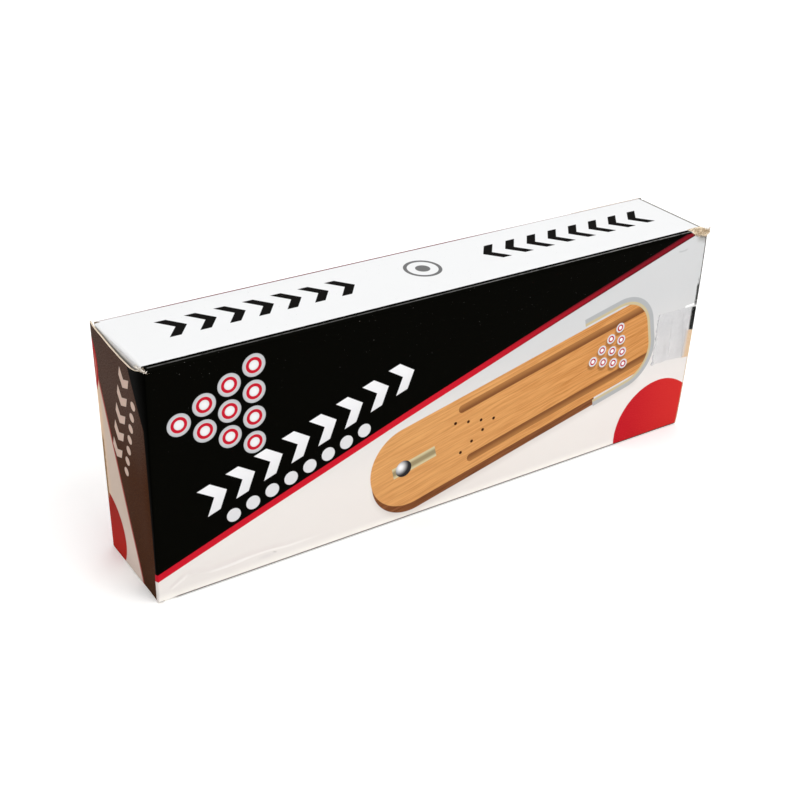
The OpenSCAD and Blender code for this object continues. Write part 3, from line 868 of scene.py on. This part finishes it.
for j in range(len(V)):
    if V[j] < -48.4:
        A[j, 1:-1] = np.interp(fixed, [fixed[0], fixed[-1]], [lo[j] + 0.4, hi[j] - 0.4])
carton = board("carton_sleeve", P, N, V, A, lambda y, z, x: (x, y, z), lambda v, x: (x, v),
               (PRINT, RAW, EDGE), shift=tube_shift)
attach(carton, "carton")
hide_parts("front_panel", "top_panel", "back_panel", "bottom_panel", "seam_flap")


def left_shift(u, v, nor):
    """The closed end flap stands proud towards its top."""
    s = -150.0 - u
    if s <= 0:
        return np.array([0.0, 0.0, 0.0])
    grow = max(-0.35, (v - 18.0) * 0.0222)
    ramp = 1.0 - math.exp(-s / 3.4)
    tuck = max(0.0, s - 49.4) / 11.0
    ramp *= 1.0 - 0.8 * min(1.0, tuck * 2.0)
    wob = 0.16 * noise.noise(Vector((s * 0.05, v * 0.035, 8.0))) * min(1.0, s / 10.0) * (1 - min(1.0, tuck * 2.0))
    top = min(1.0, max(0.0, (v - 50.0) / 60.0))
    return np.array([-(grow * ramp + wob), 0.5 * top * math.exp(-((s - 48.8) / 1.1) ** 2), 0.0])


def z_rows(lo, hi, n=44):
    return even(lo, hi, n)


P, N, V = fillet([(-147.2, -24.5), (-150.0, -24.5), (-150.0, 22.4)], [0, 0.9, 0],
                 [-147.2, -150.0, -196.9], lambda v: 0.8 if v > -162 else 1.6, arc=7)
zlo = np.interp(-V, [147.2, 149.2, 150.9, 196.9], [0.9, 0.7, 0.2, 0.2])
zhi = np.interp(-V, [147.2, 149.2, 150.6, 152.5, 156.0, 159.5, 171.0, 179.0, 186.0, 193.0, 196.9],
                [109.2, 109.3, 109.9, 109.7, 108.6, 108.0, 108.1, 108.7, 109.5, 110.1, 110.7])
zhi = zhi + np.array([0.12 * noise.noise(Vector((q * 0.35, 1.0, 4.0))) for q in V])
left_end = board("left_end_flap_board", P, N, V, z_rows(zlo, zhi, 56), lambda x, y, z: (x, y, z),
                 lambda v, z: (v, z), (PRINT, RAW, EDGE), shift=left_shift)
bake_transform(left_end)
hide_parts("left_end_flap")

P, N, V = fillet([(-150.0, 22.4), (-150.0, 24.25), (-148.8, 23.4), (-146.4, 22.7), (-139.0, 22.7)],
                 [0, 0.5, 1.2, 2.0, 0], [-196.9, -198.8, -200.4, -202.7, -210.1], 1.0, arc=5)
r = 7.2
tl = np.clip(-V - (210.1 - r), 0, r)
cut = r - np.sqrt(np.maximum(0.0, r * r - tl * tl))
zlo = np.interp(-V, [196.9, 198.3, 199.2, 200.4], [0.2, 0.6, 1.6, 3.0]) + cut
zhi = np.interp(-V, [196.9, 198.3, 199.0, 199.5, 200.4], [110.9, 111.6, 111.5, 109.6, 108.0]) - cut
left_tuck = board("left_tuck_flap_board", P, N, V, z_rows(zlo, zhi, 56), lambda x, y, z: (x, y, z),
                  lambda v, z: (v, z), (PRINT, RAW, EDGE), shift=left_shift)
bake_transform(left_tuck)
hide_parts("left_tuck_flap")


def dust_widths(V, start, length, w, cut):
    """Half widths of a dust flap, V measured from its fold."""
    return np.interp(V - start, [0.0, length * 0.35, length], [w / 2, w / 2, w / 2 - cut])


for up in (1, 0):
    z0 = 111.0 if up else 0.0
    zs = -1.0 if up else 1.0
    x0 = -150.1 if up else -148.6
    P, N, V = fillet([(-147.5, z0), (x0, z0), (x0, z0 + zs * 24.0)], [0, 0.9, 0],
                     [-147.5, x0, x0 - 24.0], 1.5, arc=7, side=-1 if up else 1)
    half = dust_widths(-V, -x0, 24.0, 42.0, 5.0)
    half[-V < -x0 + 0.5] = 21.9

    def dust_shift(u, v, nor, up=up):
        """The upper flap leans out a little more towards the back."""
        if not up:
            return nor * 0.0
        y = v - 111.0 - 24.5
        out = min(1.0, max(0.0, (-147.5 - u) / 2.6))
        lean = -0.55 * out * min(1.0, max(0.0, 1.0 - (-150.6 - u) / 23.0))
        return np.array([lean - 0.4 * out * (y / 21.0) - 0.12 * out * noise.noise(Vector((y * 0.2, u * 0.1, 3.0))), 0.0, 0.0])
    name = "left_dust_flap_top" if up else "left_dust_flap_bottom"
    ob = board(name + "_board", P, N, V, even(-half, half, 22), lambda x, z, y: (x, y, z),
               (lambda v, y: (v, 111.0 + y + 24.5)) if up else (lambda v, y: (v, -(y + 24.5))),
               (PRINT, RAW, EDGE), shift=dust_shift)
    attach(ob, "carton")
    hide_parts(name)

    # the open end's dust flap, folded in flat
    zc = 111.0 - 0.85 if up else 0.85
    e = 0.85 if up else -0.85
    P, N, V = fillet([(147.9, zc + e), (149.05, zc + e), (149.05, zc - e), (123.65, zc - e)],
                     [0, 0.84, 0.84, 0], [147.9, 149.05, 150.75, 176.15], 3.0, arc=5, side=1 if up else -1)
    half = dust_widths(V, 149.9, 24.5, 42.0, 5.0)
    name = "right_dust_flap_top" if up else "right_dust_flap_bottom"
    ob = board(name + "_board", P, N, V, even(-half, half, 22), lambda x, z, y: (x, y, z),
               (lambda v, y: (v, 111.0 + y + 24.5)) if up else (lambda v, y: (v, -(y + 24.5))),
               (PRINT, RAW, EDGE))
    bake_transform(ob)
    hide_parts(name)

# the open end's large flap, folded right back: a hairpin with its raw side out
P, N, V = fillet([(148.7, 23.8), (150.15, 23.8), (150.15, 25.5), (104.6, 25.5)], [0, 0.84, 0.84, 0],
                 [148.7, 150.15, 151.85, 197.4], lambda v: 4.0, arc=6, side=-1)
zlo = np.interp(V, [148.7, 150.0, 151.85, 197.4], [0.4, 0.8, 0.8, 0.8])
zhi = np.interp(V, [148.7, 150.0, 151.85, 197.4], [110.0, 110.2, 110.2, 110.2])


def right_shift(u, v, nor):
    s = u - 151.85
    if s <= 0:
        return nor * 0.0
    return np.array([0.0, 0.07 * noise.noise(Vector((s * 0.06, v * 0.04, 2.0))) * min(1.0, s / 8.0) + 0.02 * min(1.0, s / 10.0), 0.0])


right_end = board("right_end_flap_board", P, N, V, z_rows(zlo, zhi, 30), lambda x, y, z: (x, y, z),
                  lambda v, z: (v, z), (RAW, PRINT, EDGE), shift=right_shift)
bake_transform(right_end)
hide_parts("right_end_flap")

P, N, V = fillet([(104.6, 25.5), (90.4, 25.5)], [0, 0], [197.4, 211.6], 1.0, side=-1)
tl = np.clip(V - (211.6 - r), 0, r)
cut = r - np.sqrt(np.maximum(0.0, r * r - tl * tl))
zlo = np.interp(V, [197.4, 198.6, 200.2], [0.8, 0.9, 3.0]) + cut
zhi = np.interp(V, [197.4, 198.6, 200.2], [110.2, 110.1, 108.0]) - cut


def right_tuck_shift(u, v, nor):
    crease = -0.18 * math.exp(-((u - 199.6) / 0.7) ** 2)
    return right_shift(u, v, nor) + np.array([0.0, crease, 0.0])


right_tuck = board("right_tuck_flap_board", P, N, V, z_rows(zlo, zhi, 30), lambda x, y, z: (x, y, z),
                   lambda v, z: (v, z), (RAW, PRINT, EDGE), shift=right_tuck_shift)
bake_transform(right_tuck)
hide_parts("right_tuck_flap")


# ---------------------------------------------------------------- tape rest
def tape():
    """A torn, crinkled rest of clear tape on the front's right edge."""
    us = np.arange(123.4, 149.05, 0.42)
    vs = np.arange(40.6, 71.1, 0.6)

    def left_edge(v):
        return 124.2 + 1.3 * noise.noise(Vector((v * 0.25, 0.0, 5.0))) + 0.5 * noise.noise(Vector((v * 1.1, 0.0, 6.0)))

    def low(u):
        return 41.6 + 0.9 * noise.noise(Vector((u * 0.22, 3.0, 1.0))) + 0.35 * noise.noise(Vector((u * 1.3, 3.0, 1.0)))

    def high(u):
        return 69.9 + 0.8 * noise.noise(Vector((u * 0.2, 9.0, 2.0))) + 0.3 * noise.noise(Vector((u * 1.2, 9.0, 2.0)))

    m, n = len(vs), len(us)
    top = np.zeros((m, n, 3))
    uv = np.zeros((m, n, 2))
    for j in range(m):
        for i in range(n):
            f = j / (m - 1)
            g = i / (n - 1)
            e0 = left_edge(41 + 29 * f)
            u = e0 + (149.0 - e0) * g
            v = low(u) + (high(u) - low(u)) * f
            h = 0.14 + 0.22 * abs(noise.noise(Vector((u * 0.16, v * 0.03, 3.0))))
            for cu, wide, tall in ((134.9, 0.4, 0.28), (142.6, 0.5, 0.24)):
                h += tall * math.exp(-((u - cu - 0.25 * math.sin(v * 0.3)) / wide) ** 2) * max(0.0, math.sin(math.pi * f)) ** 0.4
            h = h * min(1.0, (g * 20 + 0.3))
            base = tube_shift(u, v, np.array([0.0, -1.0, 0.0]))
            top[j, i] = (u, -24.5 - h + base[1], v)
            uv[j, i] = (u, v)
    k = m * n
    under = top + np.array([0.0, 0.06, 0.0])
    verts = np.concatenate([top.reshape(-1, 3), under.reshape(-1, 3)]) * MM
    faces, fm = [], []
    for j in range(m - 1):
        for i in range(n - 1):
            a, b, c, d = j * n + i, j * n + i + 1, (j + 1) * n + i + 1, (j + 1) * n + i
            faces += [[a, b, c, d], [k + d, k + c, k + b, k + a]]
            fm += [0, 0]
    ring = [(0, i) for i in range(n)] + [(j, n - 1) for j in range(1, m)] + \
           [(m - 1, i) for i in range(n - 2, -1, -1)] + [(j, 0) for j in range(m - 2, 0, -1)]
    for s in range(len(ring)):
        (j0, i0), (j1, i1) = ring[s], ring[(s + 1) % len(ring)]
        faces.append([k + j0 * n + i0, k + j1 * n + i1, j1 * n + i1, j0 * n + i0])
        fm.append(0)
    ob = make_object("torn_tape", verts, faces, (TAPE,), fm, np.concatenate([uv.reshape(-1, 2)] * 2))
    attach(ob, "carton")
    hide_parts("sealing_tape")


tape()


def fibres(name, spots, body, seed, mat=None):
    """Short torn paper fibres: thin curled strips. spots: (x, y, z, dx, dy, dz,
    length, width) in mm."""
    verts, faces = [], []
    for k, (x, y, z, dx, dy, dz, ln, wd) in enumerate(spots):
        d = Vector((dx, dy, dz)).normalized()
        side = d.cross(Vector((0.3, -0.5, 0.8))).normalized()
        up = side.cross(d).normalized()
        steps = 5
        base = len(verts)
        for q in range(steps):
            f = q / (steps - 1)
            curl = up * (0.25 * ln * f * f * (0.6 + 0.6 * noise.noise(Vector((k, 1.0, seed)))))
            p = Vector((x, y, z)) + d * (ln * f) + curl
            p.y = max(p.y, -25.2 - 0.15 * f)
            w = wd * (1 - 0.75 * f) * 0.5
            for a, b in ((-1, -1), (1, -1), (1, 1), (-1, 1)):
                verts.append((p + side * (a * w) + up * (b * 0.05)) * MM)
        for q in range(steps - 1):
            o = base + q * 4
            for a in range(4):
                b = (a + 1) % 4
                faces.append([o + 4 + a, o + 4 + b, o + b, o + a])
        faces.append([base, base + 1, base + 2, base + 3])
        e = base + (steps - 1) * 4
        faces.append([e + 3, e + 2, e + 1, e])
    ob = make_object(name, verts, faces, (mat or FIBRE,), [0] * len(faces), None, False)
    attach(ob, body)
    return ob


def hashed(k, s):
    """A repeatable number from 0 to 1."""
    x = math.sin(k * 12.9898 + s * 78.233) * 43758.5453
    return x - math.floor(x)


# white pulp bridging the gap at the closed end's front corner
spots = []
for k in range(90):
    f = hashed(k, 1.0)
    s = -0.5 + 7.5 * f ** 1.3                         # along the flap's top edge
    top = 109.7 if s < 1.5 else 109.7 - 1.5 * min(1.0, (s - 1.5) / 7.0)
    lift = hashed(k, 2.0)
    x = -150.05 - min(1.0, max(0.0, s) / 6.0) * 1.15 * (1 - 0.7 * lift) - 0.1
    y = -24.2 + max(0.0, s)
    if s < 0:
        x, y = -149.9 + 0.8 * hashed(k, 9.0), -24.55
    z = top + lift * (110.5 - top) * 0.9
    spots.append((x, y, z, -0.5 + 1.3 * hashed(k, 3.0), 1.6 * (hashed(k, 4.0) - 0.5), 0.6 * (hashed(k, 5.0) - 0.35),
                  (0.45 + 0.7 * hashed(k, 6.0)) * (0.4 if s < 0.4 else 1.0), 0.22 + 0.32 * hashed(k, 7.0)))
fibres("torn_fibres_closed_end", spots, "carton", 1.0)

# tan pulp over the fold at the open end's front corner
spots = []
for k in range(230):
    x = 140.9 + 9.7 * hashed(k, 11.0) ** 0.8
    a = (hashed(k, 12.0) - 0.12) * math.radians(105.0)
    y, z = -22.6 - 1.9 * math.cos(a), 109.1 + 1.9 * math.sin(a)
    if hashed(k, 13.0) < 0.22:
        y, z = -24.5, 110.2 - 0.33 * (x - 138.0) * hashed(k, 14.0)
    if x > 147.4 and (z < 108.9 or y > -23.9):
        continue
    spots.append((x, y - 0.02, z, (1.7 if x < 146.8 else 0.4) * (hashed(k, 15.0) - 0.5), -0.22 + 0.8 * (hashed(k, 16.0) - 0.5),
                  0.25 + 1.1 * (hashed(k, 17.0) - 0.5), 0.7 + 1.5 * hashed(k, 18.0), 0.12 + 0.28 * hashed(k, 19.0)))
fibres("torn_fibres_open_end", spots, "carton", 2.0, TAN_FIBRE)


# -------------------------------------------------------------------- game
def refined(node, name, width, mats, pick=None, angle=35.0, segments=2):
    """The CAD solid with its edges eased."""
    me = NODES[node].data.copy()
    me.name = name
    me.materials.clear()
    bm = bmesh.new()
    bm.from_mesh(me)
    bmesh.ops.remove_doubles(bm, verts=bm.verts, dist=1e-6)
    bmesh.ops.dissolve_limit(bm, angle_limit=math.radians(0.5), verts=bm.verts, edges=bm.edges)
    bm.normal_update()
    edges = [e for e in bm.edges if len(e.link_faces) == 2 and e.calc_face_angle(0.0) > math.radians(angle)]
    bmesh.ops.bevel(bm, geom=edges, offset=width * MM, offset_type="OFFSET", segments=segments,
                    profile=0.5, affect="EDGES", clamp_overlap=True)
    bmesh.ops.triangulate(bm, faces=[f for f in bm.faces if len(f.verts) > 4])
    bm.normal_update()
    for f in bm.faces:
        f.smooth = True
        if pick:
            f.material_index = pick(f.calc_center_median() / MM, f.normal)
    bm.to_mesh(me)
    bm.free()
    for m in mats:
        me.materials.append(m)
    ob = bpy.data.objects.new(name, me)
    bpy.context.scene.collection.objects.link(ob)
    me.set_sharp_from_angle(angle=math.radians(38))
    return ob


lane = refined("lane_board", "lane", 0.45, (LANE,))
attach(lane, "game")
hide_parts("lane_board")


def wall_face(c, n):
    """0 inside, 1 outside, by which way the face looks from the lane's middle."""
    cx = min(c.x, LANE_X1 - 34.0)
    cz = max(LANE_Z - 16.0, min(LANE_Z + 16.0, c.z)) if c.x > LANE_X1 - 34 else LANE_Z
    if abs(n.y) > 0.6:
        return 1
    out = Vector((c.x - cx, 0, c.z - cz))
    return 1 if out.dot(Vector((n.x, 0, n.z))) > 0 else 0


wall = refined("pin_wall", "pin_wall_bent_board", 0.4, (WALL_IN, WALL_OUT), wall_face)
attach(wall, "game")
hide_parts("pin_wall")

ramp = refined("launch_ramp", "launch_ramp_bar", 0.5, (RAMP,), angle=30.0)
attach(ramp, "ramp")
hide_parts("launch_ramp")

for node, name, w in (("wall_screws", "wall_screw_set", 0.12), ("ramp_pivot_pin", "pivot_pin", 0.15)):
    ob = refined(node, name, w, (STEEL,))
    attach(ob, "game")
    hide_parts(node)


def lathe(name, profile, mat, segments=56):
    """Turned solid about local Z from (radius, height) points in mm."""
    verts, faces = [], []
    rings = []
    for rr, z in profile:
        if rr < 1e-6:
            rings.append([len(verts)])
            verts.append((0, 0, z * MM))
        else:
            ring = []
            for k in range(segments):
                a = 2 * math.pi * k / segments
                ring.append(len(verts))
                verts.append((rr * math.cos(a) * MM, rr * math.sin(a) * MM, z * MM))
            rings.append(ring)
    for a, b in zip(rings, rings[1:]):
        for k in range(segments):
            k2 = (k + 1) % segments
            if len(a) == 1:
                faces.append([a[0], b[k2], b[k]])
            elif len(b) == 1:
                faces.append([a[k], a[k2], b[0]])
            else:
                faces.append([a[k], a[k2], b[k2], b[k]])
    me = bpy.data.meshes.new(name)
    me.from_pydata(verts, [], faces)
    me.materials.append(mat)
    me.polygons.foreach_set("use_smooth", [True] * len(faces))
    me.update()
    me.set_sharp_from_angle(angle=math.radians(50))
    ob = bpy.data.objects.new(name, me)
    bpy.context.scene.collection.objects.link(ob)
    return ob


def spline(points, per=5):
    """Points of a Catmull-Rom curve through the given ones."""
    pts = [np.array(p, float) for p in points]
    out = []
    for i in range(len(pts) - 1):
        p0 = pts[max(0, i - 1)]
        p1, p2 = pts[i], pts[i + 1]
        p3 = pts[min(len(pts) - 1, i + 2)]
        for k in range(per):
            s = k / per
            out.append(0.5 * ((2 * p1) + (-p0 + p2) * s + (2 * p0 - 5 * p1 + 4 * p2 - p3) * s * s
                              + (-p0 + 3 * p1 - 3 * p2 + p3) * s ** 3))
    out.append(pts[-1])
    return out


PIN_SHAPE = [(0.64, 0.02), (0.80, 0.10), (0.93, 0.20), (1.00, 0.31), (0.99, 0.40), (0.88, 0.50),
             (0.68, 0.60), (0.50, 0.68), (0.42, 0.74), (0.43, 0.80), (0.51, 0.86), (0.56, 0.91),
             (0.53, 0.95), (0.40, 0.985)]
profile = [(0.0, 0.012), (0.30, 0.012), (0.36, 0.0), (0.56, 0.0)] + \
          [tuple(p) for p in spline(PIN_SHAPE, 4)] + [(0.22, 0.997), (0.0, 1.0)]
profile = [(max(0.0, a) * PIN_R, b * PIN_H) for a, b in profile]
PINS = {1: (-54, 3.6, 4), 2: (-17.5, 3.4, 176), 3: (3.5, 3.6, -5), 4: (39.5, 3.7, 183),
        5: (-40, -7.0, 171), 6: (-19, -7.4, 6), 7: (18, -7.0, 184),
        8: (-45, -18.1, -7), 9: (-8.5, -17.9, 186), 10: (13, -18.2, 3)}
for k, (x, y, yaw) in PINS.items():
    ob = lathe("bowling_pin_%d" % k, profile, PIN)
    ob.matrix_world = (Matrix.Translation(Vector((x, y, FLOOR_Z + PIN_R + 0.1)) * MM)
                       @ Matrix.Rotation(math.radians(yaw), 4, "Z")
                       @ Matrix.Rotation(math.radians(95.0), 4, "Y")
                       @ Matrix.Translation(Vector((0, 0, -0.36 * PIN_H)) * MM)
                       @ Matrix.Rotation(math.radians(90.0 * k), 4, "Z"))
    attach(ob, "loose_pin_%d" % k)
    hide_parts("pin_%d" % k)

sphere = [(6.0 * math.sin(math.pi * k / 40), -6.0 * math.cos(math.pi * k / 40)) for k in range(41)]
sphere[0] = (0.0, -6.0)
sphere[-1] = (0.0, 6.0)
ball = lathe("steel_ball", sphere, CHROME, 72)
ball.matrix_world = Matrix.Translation(Vector((-HX + 25, -9.0, FLOOR_Z + 6.0)) * MM) @ \
    Matrix.Rotation(math.radians(90), 4, "X")
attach(ball, "loose_ball")
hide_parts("ball")

# ------------------------------------------------------------------- stage
me = bpy.data.meshes.new("floor")
bm = bmesh.new()
size, seg = 12.0, 24
bmesh.ops.create_grid(bm, x_segments=seg, y_segments=seg, size=size)
bm.to_mesh(me)
bm.free()
me.materials.append(floor_material())
floor = bpy.data.objects.new("floor", me)
floor.location = (0, 0, -0.0002)
bpy.context.scene.collection.objects.link(floor)


def area(name, loc, aim, size, power, color=(1, 1, 1), size_y=None):
    lt = bpy.data.lights.new(name, "AREA")
    lt.shape = "RECTANGLE"
    lt.size = size
    lt.size_y = size_y or size
    lt.energy = power
    lt.color = color
    ob = bpy.data.objects.new(name, lt)
    ob.location = loc
    d = Vector(aim) - Vector(loc)
    ob.rotation_euler = d.to_track_quat("-Z", "Y").to_euler()
    bpy.context.scene.collection.objects.link(ob)
    return ob


area("key", (0.5, -1.5, 1.9), (0, 0, 0.05), 1.6, 36.2, (1.0, 0.995, 0.985))
area("overhead", (0.0, 0.3, 2.4), (0, 0, 0), 2.2, 43.0, (1.0, 1.0, 1.0))
area("left_fill", (-1.8, 0.1, 0.7), (-0.15, 0, 0.05), 0.9, 2.1, (1.0, 0.78, 0.62))

world = bpy.data.worlds.new("studio")
world.use_nodes = True
bg = world.node_tree.nodes["Background"]
bg.inputs["Color"].default_value = (1.0, 1.0, 1.0, 1.0)
# paler towards the horizon: 0.15 overhead, 0.57 at eye level
wt = world.node_tree
where = wt.nodes.new("ShaderNodeTexCoord")
parts = wt.nodes.new("ShaderNodeSeparateXYZ")
wt.links.new(where.outputs["Generated"], parts.inputs[0])
last = parts.outputs["Z"]
for op, k in (("ABSOLUTE", None), ("SUBTRACT", 1.0), ("POWER", 3.0), ("MULTIPLY", 0.42), ("ADD", 0.15)):
    step = wt.nodes.new("ShaderNodeMath")
    step.operation = op
    if op == "SUBTRACT":
        step.inputs[0].default_value = k
        wt.links.new(last, step.inputs[1])
    else:
        wt.links.new(last, step.inputs[0])
        if k is not None:
            step.inputs[1].default_value = k
    last = step.outputs[0]
wt.links.new(last, bg.inputs["Strength"])
bpy.context.scene.world = world
bpy.context.scene.view_settings.view_transform = "Standard"

# ------------------------------------------------------------------ camera
cam = bpy.data.cameras.new("camera")
cam.sensor_width = 36.0
cam.lens = 59.2118
cam.clip_start = 0.01
cam.clip_end = 50.0
camera = bpy.data.objects.new("camera", cam)
camera.location = (-0.322736, -0.436880, 0.349946)
turn = Matrix.Rotation(math.radians(-33.9324), 3, "Z") @ Matrix.Rotation(math.radians(-2.3998), 3, "Y") @ \
    Matrix.Rotation(math.radians(60.5102), 3, "X") @ Matrix.Rotation(math.radians(0.0218), 3, "X") @ \
    Matrix.Rotation(math.radians(0.0218), 3, "Y")
camera.rotation_euler = turn.to_euler()
bpy.context.scene.collection.objects.link(camera)
bpy.context.scene.camera = camera
